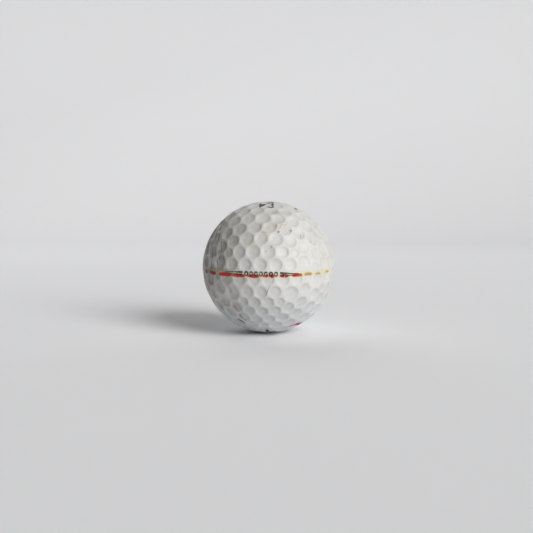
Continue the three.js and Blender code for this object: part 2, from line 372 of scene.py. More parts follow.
# Stains and scuffs away from the line: the turn and latitude that each is at and its tilt, in
# degrees, its half width and half height in mm, its colour and its strength.
stains = [
    {"at": (-7.6, 40), "tilt": 0, "half": (0.3, 1.5), "colour": "#A5826C", "strength": 0.5},
    {"at": (-4.2, 33.8), "tilt": -8, "half": (0.9, 0.24), "colour": "#A0765C", "strength": 0.55},
    {"at": (-8.6, 34.6), "tilt": 30, "half": (0.45, 0.2), "colour": "#A07E68", "strength": 0.5},
    {"at": (8.4, 40.2), "tilt": 0, "half": (0.28, 1.0), "colour": "#96705C", "strength": 0.6},
    {"at": (9.8, 34.2), "tilt": 10, "half": (0.4, 0.36), "colour": "#6F6650", "strength": 0.75},
    {"at": (12.4, 38.8), "tilt": -28, "half": (0.22, 0.85), "colour": "#A0866E", "strength": 0.5},
    {"at": (16.4, 41.4), "tilt": 6, "half": (1.2, 0.2), "colour": "#94785E", "strength": 0.6},
    {"at": (23, 35.2), "tilt": 10, "half": (0.38, 0.34), "colour": "#94706A", "strength": 0.65},
    {"at": (32.4, 30), "tilt": -18, "half": (0.2, 0.9), "colour": "#A5807A", "strength": 0.6},
    {"at": (35.6, 30), "tilt": -12, "half": (0.16, 0.5), "colour": "#B49A92", "strength": 0.4},
    {"at": (42.6, 25), "tilt": 0, "half": (0.42, 0.4), "colour": "#A4A89C", "strength": 0.5},
    {"at": (28, 12), "tilt": 0, "half": (0.4, 0.3), "colour": "#C9BFAE", "strength": 0.35},
    {"at": (2.6, 21), "tilt": 0, "half": (0.24, 0.34), "colour": "#8F8D86", "strength": 0.7},
    {"at": (-2.2, 17.3), "tilt": 0, "half": (0.28, 0.26), "colour": "#A3A19A", "strength": 0.6},
    {"at": (16.4, 16.6), "tilt": -8, "half": (0.14, 0.9), "colour": "#AFADA6", "strength": 0.5},
    {"at": (-14, 22.6), "tilt": 12, "half": (1.5, 0.8), "colour": "#C6C7A4", "strength": 0.42},
    {"at": (0.8, 31.4), "tilt": -75, "half": (0.9, 0.55), "colour": "#CECBA4", "strength": 0.55},
    {"at": (-3.8, 38), "tilt": 84, "half": (1.7, 0.6), "colour": "#CBC4B0", "strength": 0.4},
    {"at": (-19, 39), "tilt": 60, "half": (0.9, 0.5), "colour": "#BFA294", "strength": 0.35},
    {"at": (18, 42.6), "tilt": 10, "half": (1.8, 0.5), "colour": "#CDC8AE", "strength": 0.4},
    {"at": (2.5, 46.5), "tilt": 62, "half": (1.3, 0.5), "colour": "#C0B69C", "strength": 0.4},
    {"at": (12, 56), "tilt": 0, "half": (1.8, 1.1), "colour": "#A8A098", "strength": 0.4},
    {"at": (28, 57), "tilt": 0, "half": (1.8, 1.2), "colour": "#C6BCBC", "strength": 0.35},
    {"at": (-0.6, -15), "tilt": -20, "half": (0.15, 1.9), "colour": "#8B7462", "strength": 0.7},
    {"at": (-18.4, -6.2), "tilt": -10, "half": (0.5, 0.6), "colour": "#A8A670", "strength": 0.65},
    {"at": (-6.4, -5.8), "tilt": 0, "half": (0.5, 0.55), "colour": "#C2B088", "strength": 0.55},
    {"at": (-38, -49.4), "tilt": -45, "half": (1.4, 0.8), "colour": "#4E4C30", "strength": 0.95},
    {"at": (-33, -42), "tilt": -85, "half": (1.0, 0.36), "colour": "#6B6844", "strength": 0.7},
    {"at": (-30, -46), "tilt": -30, "half": (0.7, 0.4), "colour": "#8A8A68", "strength": 0.5},
    {"at": (-34.6, -32), "tilt": -77, "half": (1.3, 0.6), "colour": "#958078", "strength": 0.5},
    {"at": (-55, -35.5), "tilt": -78, "half": (0.9, 0.36), "colour": "#85736A", "strength": 0.45},
    # a darker olive band along the marker line's left part, on the side away from the key
    {"at": (-51, 0.4), "tilt": 0, "half": (8.5, 0.8), "colour": "#8E8E70", "strength": 0.6},
    {"at": (-31, -6.8), "tilt": -8, "half": (0.14, 0.8), "colour": "#96635F", "strength": 0.6},
    {"at": (-35, -16.6), "tilt": 0, "half": (0.55, 1.0), "colour": "#9A8E78", "strength": 0.5},
    {"at": (-62, -11), "tilt": 0, "half": (2.6, 0.7), "colour": "#927E6C", "strength": 0.4},
    {"at": (-56, -33), "tilt": 20, "half": (1.8, 0.9), "colour": "#9A8878", "strength": 0.35},
    {"at": (54, -16), "tilt": -14, "half": (0.4, 1.6), "colour": "#D6C6B4", "strength": 0.5},
    {"at": (48, -26), "tilt": 40, "half": (1.6, 0.6), "colour": "#DCD6BE", "strength": 0.5},
    {"at": (57, -57), "tilt": -6, "half": (3.2, 0.85), "colour": "#A01822", "strength": 0.95},
    {"at": (45, -57.8), "tilt": -6, "half": (2.0, 0.8), "colour": "#B8484C", "strength": 0.85},
    {"at": (196, 24), "tilt": 35, "half": (2.4, 0.5), "colour": "#A9997C", "strength": 0.5},
    {"at": (164, -22), "tilt": -20, "half": (0.7, 0.5), "colour": "#6E5A46", "strength": 0.7},
    {"at": (110, 34), "tilt": 50, "half": (1.4, 0.35), "colour": "#9C8B6C", "strength": 0.6},
    {"at": (250, 18), "tilt": -30, "half": (1.8, 0.6), "colour": "#8E9068", "strength": 0.5},
    {"at": (232, -40), "tilt": 0, "half": (0.9, 0.7), "colour": "#7C6A54", "strength": 0.6},
]

# Dirt and painted shade that cover a wide part of the ball: scuffed, soiled and darkened bowls, with places
# as for the stains.
soiledAndShadedSides = [
    # the first, turned away from the key, is mostly painted shade over that side's bowls and lands
    {"at": (-70, 14), "tilt": 0, "half": (15, 17), "strength": 0.66},
    {"at": (-44, -36), "tilt": 30, "half": (8, 6), "strength": 0.5},
    {"at": (-8, -44), "tilt": 0, "half": (17, 12), "strength": 0.24},
    {"at": (-20, 10), "tilt": 0, "half": (10, 14), "strength": 0.18},
    {"at": (172, 30), "tilt": 0, "half": (9, 12), "strength": 0.26},
    {"at": (112, -20), "tilt": 40, "half": (7, 11), "strength": 0.24},
]

# A band of fine scuffs, torn one way by a club face or a path: dark streaks, and light streaks that are
# partly painted highlights where the rims catch the light.
scuffAndGlintBand = {
    "at": (-66, 28), "tilt": 24, "half": (4.6, 13), "edge": 0.5, "strength": 0.85,
    "soiledAndShadedShare": 0.6,     # how much of the same scuffing the soiled and shaded sides get
    "streakWide": 0.26, "streakLong": 1.9, "streakScale": 0.45,
    # the pale streaks are partly painted highlights where the rims catch the light
    "dark": "#4C413B", "darkRange": (0.53, 0.66), "pale": "#E2DED8", "paleRange": (0.46, 0.34),
}

# Play marks near both poles: a plain figure and short bars in black pad-print ink.
poleBars = [
    {"at": (-20.5, 70.5), "tilt": 16, "half": (0.46, 2.2)},
    {"at": (-13, 71.5), "tilt": -24, "half": (0.5, 1.8)},
    {"at": (8, 80.5), "tilt": 0, "half": (1.25, 0.8)},
    {"at": (63, 62.5), "tilt": 0, "half": (0.4, 0.5)},
    {"at": (-2, -70), "tilt": 4, "half": (0.6, 1.7)},
    {"at": (12, -73), "tilt": -6, "half": (0.75, 2.4)},
]
playFigure = {
    "at": (4, 70.5), "arcRadius": 1.02, "stroke": 0.34, "inkEdge": 0.08,     # mm
    "tipSlope": 0.7, "tipShare": 0.36,       # the slant and the place of the cut that opens the arcs
    "reach": 1.5, "reachEdge": 0.2,          # mm above and below the ball's surface
    "barEdge": 0.22, "colour": "#1B1A19", "strength": 0.92,
}


def softMask(tree, value, edge, soft):
    # 1 where the value is under edge - soft, falling smoothly to 0 at edge + soft
    return addNode(tree, "ShaderNodeMapRange", {
        "Value": value, "From Min": edge - soft, "From Max": edge + soft, "To Min": 1.0, "To Max": 0.0,
    }, interpolation_type="SMOOTHSTEP").outputs[0]


def ovalMask(tree, place, centre, turned, halves, strength, soft):
    # a soft-edged oval, at a centre in mm and turned with the ball's surface there
    local = addNode(tree, "ShaderNodeMapping", {
        "Vector": place, "Location": centre, "Rotation": turned, "Scale": halves}, vector_type="TEXTURE")
    size = addNode(tree, "ShaderNodeVectorMath", {0: local}, operation="LENGTH")
    mask = softMask(tree, size.outputs["Value"], 1.0, soft)
    return addNode(tree, "ShaderNodeMath", {0: mask, 1: strength}, operation="MULTIPLY").outputs[0]


def markMask(tree, place, mark, strength, depth, soft):
    # the oval of one stain, soiled and shaded side, or bar
    centre = onBall(*mark["at"]) * ballRadius * 1000
    turned = markFrame(*mark["at"], mark["tilt"])
    return ovalMask(tree, place, centre, turned, (*mark["half"], depth), strength, soft)


def layColour(tree, under, colour, mask):
    # sockets 6 and 7 of a colour mix are its two colours, and its colour comes out of output 2
    return addNode(tree, "ShaderNodeMix", {
        "Factor": mask, 6: under, 7: colour}, data_type="RGBA").outputs[2]


def stampMask(tree, flatPlace):
    # distances in mm from the stamp's middle, along and across the line
    radiusMm = ballRadius * 1000
    middle = (math.radians(sideStamp["turn"]) * radiusMm, math.radians(sideStamp["latitude"]) * radiusMm, 0)
    turned = (0, 0, math.radians(sideStamp["tilt"]))
    local = addNode(tree, "ShaderNodeMapping", {
        "Vector": flatPlace, "Location": middle, "Rotation": turned}, vector_type="TEXTURE")
    size = addNode(tree, "ShaderNodeVectorMath", {0: local}, operation="ABSOLUTE")
    along, across, _ = addNode(tree, "ShaderNodeSeparateXYZ", {0: size}).outputs

    # rings: the row repeats, and each is an oval with a small hole
    centred = addNode(tree, "ShaderNodeMath", {0: along, 1: sideStamp["ringPitch"] / 2}, operation="ADD")
    inCell = addNode(tree, "ShaderNodeMath", {
        0: centred, 1: sideStamp["ringPitch"]}, operation="FLOORED_MODULO")
    fromRing = addNode(tree, "ShaderNodeMath", {
        0: inCell, 1: sideStamp["ringPitch"] / 2}, operation="SUBTRACT")
    inRing = addNode(tree, "ShaderNodeCombineXYZ", {"X": fromRing, "Y": across})
    ringShare = addNode(tree, "ShaderNodeVectorMath", {
        0: inRing, 1: (sideStamp["ringWide"], sideStamp["ringTall"], 1)}, operation="DIVIDE")
    ringReach = addNode(tree, "ShaderNodeVectorMath", {0: ringShare}, operation="LENGTH").outputs["Value"]
    body = softMask(tree, ringReach, 1.0, sideStamp["ringEdge"])
    hole = softMask(tree, ringReach, sideStamp["holeShare"], sideStamp["holeEdge"])
    row = softMask(tree, along, sideStamp["rowEnd"], sideStamp["fineEdge"])
    ringed = addNode(tree, "ShaderNodeMath", {0: body, 1: hole}, operation="SUBTRACT")
    rings = addNode(tree, "ShaderNodeMath", {0: ringed, 1: row}, operation="MULTIPLY")

    # wings: they taper outwards and are split along their middle
    wingHalf = addNode(tree, "ShaderNodeMapRange", {
        "Value": along, "From Min": sideStamp["wingStart"], "From Max": sideStamp["wingEnd"],
        "To Min": sideStamp["wingTall"], "To Max": sideStamp["tipTall"]})
    overWing = addNode(tree, "ShaderNodeMath", {0: across, 1: wingHalf}, operation="SUBTRACT")
    blade = softMask(tree, overWing, 0.0, sideStamp["wingEdge"])
    split = softMask(tree, across, sideStamp["split"], sideStamp["fineEdge"])
    started = softMask(tree, along, sideStamp["wingStart"], sideStamp["wingEdge"])
    ended = softMask(tree, along, sideStamp["wingEnd"], sideStamp["tipEdge"])
    opened = addNode(tree, "ShaderNodeMath", {0: blade, 1: split}, operation="SUBTRACT")
    stretch = addNode(tree, "ShaderNodeMath", {0: ended, 1: started}, operation="SUBTRACT")
    wings = addNode(tree, "ShaderNodeMath", {0: opened, 1: stretch}, operation="MULTIPLY")
    both = addNode(tree, "ShaderNodeMath", {0: rings, 1: wings}, operation="MAXIMUM")
    both.use_clamp = True
    return both.outputs[0]


def figureMask(tree, place):
    # the figure 3: two arcs, one over the other, open to the left
    turned = markFrame(*playFigure["at"], 0)
    centre = onBall(*playFigure["at"]) * ballRadius * 1000
    local = addNode(tree, "ShaderNodeMapping", {
        "Vector": place, "Location": centre, "Rotation": turned}, vector_type="TEXTURE")
    x, y, z = addNode(tree, "ShaderNodeSeparateXYZ", {0: local}).outputs
    tall = addNode(tree, "ShaderNodeMath", {0: y}, operation="ABSOLUTE")
    fromArc = addNode(tree, "ShaderNodeMath", {0: tall, 1: playFigure["arcRadius"]}, operation="SUBTRACT")
    flat = addNode(tree, "ShaderNodeCombineXYZ", {"X": x, "Y": fromArc})
    reach = addNode(tree, "ShaderNodeVectorMath", {0: flat}, operation="LENGTH")
    offArc = addNode(tree, "ShaderNodeMath", {
        0: reach.outputs["Value"], 1: playFigure["arcRadius"]}, operation="SUBTRACT")
    stroke = addNode(tree, "ShaderNodeMath", {0: offArc}, operation="ABSOLUTE")
    ink = softMask(tree, stroke, playFigure["stroke"], playFigure["inkEdge"])
    upperTip = addNode(tree, "ShaderNodeMath", {
        0: fromArc, 1: playFigure["tipSlope"], 2: x}, operation="MULTIPLY_ADD")
    cut = -playFigure["tipShare"] * playFigure["arcRadius"]
    opening = softMask(tree, upperTip, cut, playFigure["inkEdge"])
    closed = addNode(tree, "ShaderNodeMath", {0: 1.0, 1: opening}, operation="SUBTRACT")
    height = addNode(tree, "ShaderNodeMath", {0: z}, operation="ABSOLUTE")
    near = softMask(tree, height, playFigure["reach"], playFigure["reachEdge"])
    figure = addNode(tree, "ShaderNodeMath", {0: ink, 1: closed}, operation="MULTIPLY")
    return addNode(tree, "ShaderNodeMath", {0: figure, 1: near}, operation="MULTIPLY").outputs[0]


def unrollBand(tree, place):
    # the distances in mm along and above the parting line
    ray = addNode(tree, "ShaderNodeVectorMath", {0: place}, operation="NORMALIZE")
    x, y, z = addNode(tree, "ShaderNodeSeparateXYZ", {0: ray}).outputs
    towards = addNode(tree, "ShaderNodeMath", {0: y, 1: -1.0}, operation="MULTIPLY")
    turn = addNode(tree, "ShaderNodeMath", {0: x, 1: towards}, operation="ARCTAN2")
    rise = addNode(tree, "ShaderNodeMath", {0: z}, operation="ARCSINE")
    unrolled = addNode(tree, "ShaderNodeCombineXYZ", {"X": turn, "Y": rise})
    return addNode(tree, "ShaderNodeVectorMath", {
        0: unrolled, "Scale": ballRadius * 1000}, operation="SCALE").outputs[0]


def makeCoverMaterial():
    material, tree, shader = newMaterial("wornCastUrethane")
    radiusMm = ballRadius * 1000
    metres = addNode(tree, "ShaderNodeTexCoord").outputs["Object"]
    place = addNode(tree, "ShaderNodeVectorMath", {0: metres, "Scale": 1000.0}, operation="SCALE")

    # how deep in its bowl each point lies: 0 on the lands, 1 at a dimple's bottom
    rimShare = addNode(tree, "ShaderNodeAttribute", attribute_name="rimShare").outputs["Fac"]
    steep = addNode(tree, "ShaderNodeMath", {0: rimShare, 1: shellSizes["bowlPower"]}, operation="POWER")
    hollow = addNode(tree, "ShaderNodeMath", {0: 1.0, 1: steep}, operation="SUBTRACT")
    bowl = addNode(tree, "ShaderNodeMath", {0: hollow, 1: 0.0}, operation="MAXIMUM").outputs[0]

    # warm and grey clouds in the white
    clouds = addNode(tree, "ShaderNodeTexNoise", {
        "Vector": place, "Scale": 1 / coverFinish["hazeSize"], "Detail": 4.0, "Roughness": 0.55})
    warm = addNode(tree, "ShaderNodeMapRange", {
        "Value": clouds, "From Min": coverFinish["warmFrom"], "From Max": coverFinish["warmTo"],
        "To Max": coverFinish["warmShare"]})
    colour = layColour(tree, hexColour(coverFinish["white"]), hexColour(coverFinish["warmWhite"]), warm)
    smudges = addNode(tree, "ShaderNodeTexNoise", {
        "Vector": place, "Scale": coverFinish["smudgesPerCloud"] / coverFinish["hazeSize"],
        "Detail": 6.0, "Roughness": 0.6, "Distortion": 0.4})
    grey = addNode(tree, "ShaderNodeMapRange", {
        "Value": smudges, "From Min": coverFinish["greyFrom"], "From Max": coverFinish["greyTo"],
        "To Max": coverFinish["greyShare"]})
    colour = layColour(tree, colour, hexColour(coverFinish["greyHaze"]), grey)
    # painted bluish bounce light on the underside, growing below the parting line
    height = addNode(tree, "ShaderNodeSeparateXYZ", {0: place}).outputs["Z"]
    bounceTint = addNode(tree, "ShaderNodeMapRange", {
        "Value": height, "From Min": coverFinish["bounceTintFrom"], "From Max": coverFinish["bounceTintTo"],
        "To Max": coverFinish["bounceTintShare"]})
    colour = layColour(tree, colour, hexColour(coverFinish["paintedBounceTint"]), bounceTint)

    # specks of soil, each the middle of a Voronoi cell, kept in about one cell of four
    specks = addNode(tree, "ShaderNodeTexVoronoi", {
        "Vector": place, "Scale": 1 / coverFinish["speckSpacing"]})
    speck = softMask(tree, specks.outputs["Distance"], coverFinish["speckReach"], coverFinish["speckEdge"])
    picked = addNode(tree, "ShaderNodeSeparateColor", {0: specks.outputs["Color"]}).outputs[0]
    kept = softMask(tree, picked, coverFinish["speckKept"], coverFinish["keptEdge"])
    speckMask = addNode(tree, "ShaderNodeMath", {0: speck, 1: kept}, operation="MULTIPLY")
    speckFade = addNode(tree, "ShaderNodeMath", {
        0: speckMask, 1: coverFinish["speckStrength"]}, operation="MULTIPLY")
    colour = layColour(tree, colour, hexColour(coverFinish["speck"]), speckFade)

    # a place that wanders a little, so that ink and stains get ragged edges
    rag = addNode(tree, "ShaderNodeTexNoise", {
        "Vector": place, "Scale": 1 / coverFinish["ragSize"], "Detail": 4.0, "Roughness": 0.6})
    ragOffset = addNode(tree, "ShaderNodeVectorMath", {
        0: rag.outputs["Color"], 1: (0.5, 0.5, 0.5)}, operation="SUBTRACT")
    wander = addNode(tree, "ShaderNodeVectorMath", {
        0: ragOffset, "Scale": coverFinish["inkRag"] * 2}, operation="SCALE")
    ragged = addNode(tree, "ShaderNodeVectorMath", {0: place, 1: wander}, operation="ADD")

    # grime and painted shade that the bowls hold, more just inside each rim, thickest on the soiled and
    # shaded sides, and dark scuffs among it
    # the soiled and shaded sides' share, which on the ball's left is mostly painted shade
    grimeAndShadeShare = addNode(tree, "ShaderNodeValue").outputs[0]
    grimeAndShadeShare.default_value = coverFinish["bowlGrimeAndShade"]
    for side in soiledAndShadedSides:
        depth = side["half"][1]
        mask = markMask(tree, place, side, side["strength"], depth, coverFinish["sideEdge"])
        grimeAndShadeShare = addNode(tree, "ShaderNodeMath", {0: grimeAndShadeShare, 1: mask}, operation="MAXIMUM").outputs[0]
    held = addNode(tree, "ShaderNodeMapRange", {
        "Value": bowl, "From Max": coverFinish["fullAt"], "To Min": coverFinish["landShare"],
    }, interpolation_type="SMOOTHSTEP")
    uneven = addNode(tree, "ShaderNodeMapRange", {
        "Value": smudges, "From Min": coverFinish["unevenFrom"], "From Max": coverFinish["unevenTo"],
        "To Min": coverFinish["unevenLeast"], "To Max": coverFinish["unevenMost"]})
    heldGrimeAndShade = addNode(tree, "ShaderNodeMath", {0: held, 1: uneven}, operation="MULTIPLY")
    underRim = softMask(tree, bowl, coverFinish["rimTo"], coverFinish["rimFade"])
    inBowl = softMask(tree, bowl, coverFinish["rimFrom"], coverFinish["rimRise"])
    rimBand = addNode(tree, "ShaderNodeMath", {0: underRim, 1: inBowl}, operation="SUBTRACT")
    moreGrimeAndShade = addNode(tree, "ShaderNodeMath", {
        0: rimBand, 1: coverFinish["rimGrimeAndShade"], 2: grimeAndShadeShare}, operation="MULTIPLY_ADD")
    grimeAndShadeMask = addNode(tree, "ShaderNodeMath", {0: heldGrimeAndShade, 1: moreGrimeAndShade}, operation="MULTIPLY")
    grimeAndShadeMask.use_clamp = True
    colour = layColour(tree, colour, hexColour(coverFinish["grimeAndShadeColour"]), grimeAndShadeMask)

    # scuffs torn one way, dark ones and pale ones that are partly painted highlights, over their own band
    # and over the worst of the soiled and shaded sides
    turned = markFrame(*scuffAndGlintBand["at"], scuffAndGlintBand["tilt"])
    depth = scuffAndGlintBand["half"][1]
    scuffAndGlintMask = markMask(tree, place, scuffAndGlintBand, scuffAndGlintBand["strength"], depth, scuffAndGlintBand["edge"])
    worst = addNode(tree, "ShaderNodeMath", {
        0: grimeAndShadeShare, 1: coverFinish["bowlGrimeAndShade"]}, operation="SUBTRACT").outputs[0]
    tornSoiledOrShaded = addNode(tree, "ShaderNodeMath", {
        0: worst, 1: scuffAndGlintBand["soiledAndShadedShare"], 2: scuffAndGlintMask}, operation="MULTIPLY_ADD")
    grain = addNode(tree, "ShaderNodeMapping", {
        "Vector": place, "Rotation": turned,
        "Scale": (scuffAndGlintBand["streakWide"], scuffAndGlintBand["streakLong"], scuffAndGlintBand["streakLong"]),
    }, vector_type="TEXTURE")
    streaks = addNode(tree, "ShaderNodeTexNoise", {
        "Vector": grain, "Scale": scuffAndGlintBand["streakScale"], "Detail": 5.0, "Roughness": 0.6,
        "Distortion": 0.6})
    for ink in ("dark", "pale"):
        least, most = scuffAndGlintBand[ink + "Range"]
        streak = addNode(tree, "ShaderNodeMapRange", {
            "Value": streaks, "From Min": least, "From Max": most})
        streakMask = addNode(tree, "ShaderNodeMath", {0: streak, 1: tornSoiledOrShaded}, operation="MULTIPLY")
        streakMask.use_clamp = True
        colour = layColour(tree, colour, hexColour(scuffAndGlintBand[ink]), streakMask)

    for stain in stains:
        mask = markMask(
            tree, ragged, stain, stain["strength"], coverFinish["markDepth"], coverFinish["stainEdge"])
        colour = layColour(tree, colour, hexColour(stain["colour"]), mask)

    # distances along and above the parting line in mm, wandering for the drawn line, true for the stamp
    band = unrollBand(tree, ragged)
    trueBand = unrollBand(tree, place)

    def stretchMask(start, end, latitude, halfHeight, strength):
        middle = (math.radians((start + end) / 2) * radiusMm, math.radians(latitude) * radiusMm, 0)
        halves = (math.radians((end - start) / 2) * radiusMm, halfHeight, 1)
        return ovalMask(tree, band, middle, (0, 0, 0), halves, strength, markerLine["stretchEdge"])

    flakes = addNode(tree, "ShaderNodeTexNoise", {
        "Vector": place, "Scale": 1 / coverFinish["inkGrain"], "Detail": 5.0, "Roughness": 0.65})
    holds, redHolds = [
        addNode(tree, "ShaderNodeMapRange", {
            "Value": flakes, "From Min": start, "From Max": full, "To Min": least})
        for start, full, least in (coverFinish["printHolds"], coverFinish["redHolds"])]
    overLine = addNode(tree, "ShaderNodeSeparateXYZ", {0: band}).outputs
    level = math.radians(markerLine["latitude"]) * radiusMm
    alongSquared = addNode(tree, "ShaderNodeMath", {
        0: overLine["X"], 1: overLine["X"]}, operation="MULTIPLY")
    bowed = addNode(tree, "ShaderNodeMath", {
        0: alongSquared, 1: markerLine["sag"], 2: level}, operation="MULTIPLY_ADD")
    offLine = addNode(tree, "ShaderNodeMath", {0: overLine["Y"], 1: bowed}, operation="SUBTRACT")
    offSize = addNode(tree, "ShaderNodeMath", {0: offLine}, operation="ABSOLUTE")
    inLine = softMask(tree, offSize, markerLine["halfHeight"], markerLine["edge"])
    first = math.radians(markerLine["from"]) * radiusMm
    last = math.radians(markerLine["to"]) * radiusMm
    started = softMask(tree, overLine["X"], first, markerLine["startFade"])
    ended = softMask(tree, overLine["X"], last, markerLine["endFade"])
    stretch = addNode(tree, "ShaderNodeMath", {0: ended, 1: started}, operation="SUBTRACT")
    creamLine = addNode(tree, "ShaderNodeMath", {0: inLine, 1: stretch}, operation="MULTIPLY")
    creamHeld = addNode(tree, "ShaderNodeMath", {0: creamLine, 1: holds}, operation="MULTIPLY")
    cream = addNode(tree, "ShaderNodeMath", {
        0: creamHeld, 1: markerLine["creamStrength"]}, operation="MULTIPLY")
    colour = layColour(tree, colour, hexColour(markerLine["cream"]), cream)
    # the shaded red stretches are painted shade along the line's left part
    for kind, ink in (("brownStretches", "brown"), ("shadedRedStretches", "dullRed"), ("redStretches", "red")):
        for row in markerLine[kind]:
            mask = addNode(tree, "ShaderNodeMath", {
                0: stretchMask(*row), 1: redHolds}, operation="MULTIPLY")
            colour = layColour(tree, colour, hexColour(markerLine[ink]), mask)

    # pad-print ink lies under the marker and shows through it, worn like it
    inkHolds = addNode(tree, "ShaderNodeMath", {
        0: holds, 1: sideStamp["strength"]}, operation="MULTIPLY")
    stamp = addNode(tree, "ShaderNodeMath", {
        0: stampMask(tree, trueBand), 1: inkHolds}, operation="MULTIPLY")
    colour = layColour(tree, colour, hexColour(sideStamp["colour"]), stamp)
    for bar in poleBars:
        mask = markMask(
            tree, ragged, bar, playFigure["strength"], coverFinish["markDepth"], playFigure["barEdge"])
        colour = layColour(tree, colour, hexColour(playFigure["colour"]), mask)
    figure = addNode(tree, "ShaderNodeMath", {
        0: figureMask(tree, ragged), 1: playFigure["strength"]}, operation="MULTIPLY")
    colour = layColour(tree, colour, hexColour(playFigure["colour"]), figure)
    tree.links.new(colour, shader.inputs["Base Color"])

    # dulled clear coat: fine scuffs in the bump, rougher on the lands, which the turf rubs most
    scuffs = addNode(tree, "ShaderNodeTexNoise", {
        "Vector": place, "Scale": 1 / coverFinish["scuffSize"], "Detail": 6.0, "Roughness": 0.7})
    relief = addNode(tree, "ShaderNodeMath", {0: bowl, 1: coverFinish["wornRelief"]}, operation="MULTIPLY")
    scuffed = addNode(tree, "ShaderNodeMath", {
        0: scuffs, 1: coverFinish["scuffHeight"], 2: relief}, operation="MULTIPLY_ADD")
    bump = addNode(tree, "ShaderNodeBump", {"Height": scuffed, "Distance": 1.0, "Strength": 1.0})
    tree.links.new(bump.outputs[0], shader.inputs["Normal"])
    bowlDull = addNode(tree, "ShaderNodeMapRange", {
        "Value": bowl, "To Min": coverFinish["landRougher"], "To Max": coverFinish["bowlRougher"]})
    smoothest = coverFinish["roughness"] - coverFinish["roughnessSwing"] / 2
    dull = addNode(tree, "ShaderNodeMath", {
        0: scuffs, 1: coverFinish["roughnessSwing"], 2: smoothest}, operation="MULTIPLY_ADD")
    rough = addNode(tree, "ShaderNodeMath", {0: dull, 1: bowlDull}, operation="ADD")
    tree.links.new(rough.outputs[0], shader.inputs["Roughness"])
    shader.inputs["IOR"].default_value = coverFinish["ior"]
    shader.inputs["Coat Weight"].default_value = coverFinish["coatWeight"]
    shader.inputs["Coat Roughness"].default_value = coverFinish["coatRoughness"]
    return material


# Injection-moulded ionomer, a stiff plastic: a smooth, slightly milky off-white with a satin sheen.
mantleFinish = {
    "name": "mouldedIonomer", "base": "#E4E4DC", "shade": "#D3D5CA",
    "grain": 0.25, "roughness": 0.5, "bumpHeight": 0.00001,
}

# Compression-moulded rubber cups, pigmented blue: matt and even, with a fine grain.
cupFinish = {
    "name": "mouldedCupRubber", "base": "#3D5C7C", "shade": "#2F4963",
    "grain": 0.18, "roughness": 0.75, "bumpHeight": 0.00002,
}

# A moulded rubber centre, pigmented and ground round: dry and matt, with grinding's fine tooth.
coreFinish = {
    "name": "groundCoreRubber", "base": "#B8583E", "shade": "#9E4632",
    "grain": 0.14, "roughness": 0.8, "bumpHeight": 0.00003,
}

# What the moulded layers share; the grain of each is in mm and its bump height in metres.
mouldedFlow = {
    "flowSize": 6.25,                   # mm, the size of the clouds that the flow leaves
    "cloudFrom": 0.35, "cloudTo": 0.7,
    "roughnessSwing": 0.1,
}


def makeMouldedMaterial(finish):
    # a moulded part: one pigment, faintly clouded by the flow, with a fine matt grain
    material, tree, shader = newMaterial(finish["name"])
    metres = addNode(tree, "ShaderNodeTexCoord").outputs["Object"]
    place = addNode(tree, "ShaderNodeVectorMath", {0: metres, "Scale": 1000.0}, operation="SCALE")
    flow = addNode(tree, "ShaderNodeTexNoise", {
        "Vector": place, "Scale": 1 / mouldedFlow["flowSize"], "Detail": 5.0, "Roughness": 0.6,
        "Distortion": 0.8})
    cloudy = addNode(tree, "ShaderNodeMapRange", {
        "Value": flow, "From Min": mouldedFlow["cloudFrom"], "From Max": mouldedFlow["cloudTo"]})
    colour = layColour(tree, hexColour(finish["base"]), hexColour(finish["shade"]), cloudy.outputs[0])
    tree.links.new(colour, shader.inputs["Base Color"])
    pits = addNode(tree, "ShaderNodeTexNoise", {
        "Vector": place, "Scale": 1 / finish["grain"], "Detail": 5.0, "Roughness": 0.7})
    bump = addNode(tree, "ShaderNodeBump", {
        "Height": pits, "Distance": finish["bumpHeight"], "Strength": 1.0})
    tree.links.new(bump.outputs[0], shader.inputs["Normal"])
    rough = addNode(tree, "ShaderNodeMapRange", {
        "Value": pits, "To Min": finish["roughness"] - mouldedFlow["roughnessSwing"],
        "To Max": finish["roughness"] + mouldedFlow["roughnessSwing"]})
    tree.links.new(rough.outputs[0], shader.inputs["Roughness"])
    return material


coverMaterial = makeCoverMaterial()
mantleMaterial = makeMouldedMaterial(mantleFinish)
cupMaterial = makeMouldedMaterial(cupFinish)
coreMaterial = makeMouldedMaterial(coreFinish)
print("materials made")

for word, side in (("Upper", 1.0), ("Lower", -1.0)):
    node = "_" + word.lower()
    dimples = readDimples("cover" + node)
    markers = makeMarkers("dimpleMarkers" + word, dimples)
    print(word, "half:", len(dimples), "dimples")
    inner, outer = partingRadii("cover" + node)
    makeShell("cover" + word, "cover" + node, {
        "Cells": shellSizes["coverCells"], "Outer Radius": outer, "Inner Radius": inner, "Side": side,
        "Edge Softness": shellSizes["edgeSoftness"], "Bowl Power": shellSizes["bowlPower"],
        "Buffed Band": shellSizes["buffedBand"], "Dimples": markers, "Material": coverMaterial})
    bpy.data.objects.remove(markers)
    for name, layer, slot, material in (
            ("mantle", "mantle", "mantle_ionomer", mantleMaterial),
            ("outerCore", "outer_core", "cup_rubber", cupMaterial)):
        inner, outer = partingRadii(layer + node)
        makeShell(name + word, layer + node, {
            "Cells": shellSizes["layerCells"], "Outer Radius": outer, "Inner Radius": inner,
            "Side": side, "Buffed Band": shellSizes["buffedBand"], "Material": material})

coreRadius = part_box("inner_core")[1].x
makeShell("innerCore", "inner_core", {
    "Cells": shellSizes["layerCells"], "Outer Radius": coreRadius, "Side": 1.0,
    "Buffed Band": shellSizes["buffedBand"], "Whole Ball": True, "Material": coreMaterial})


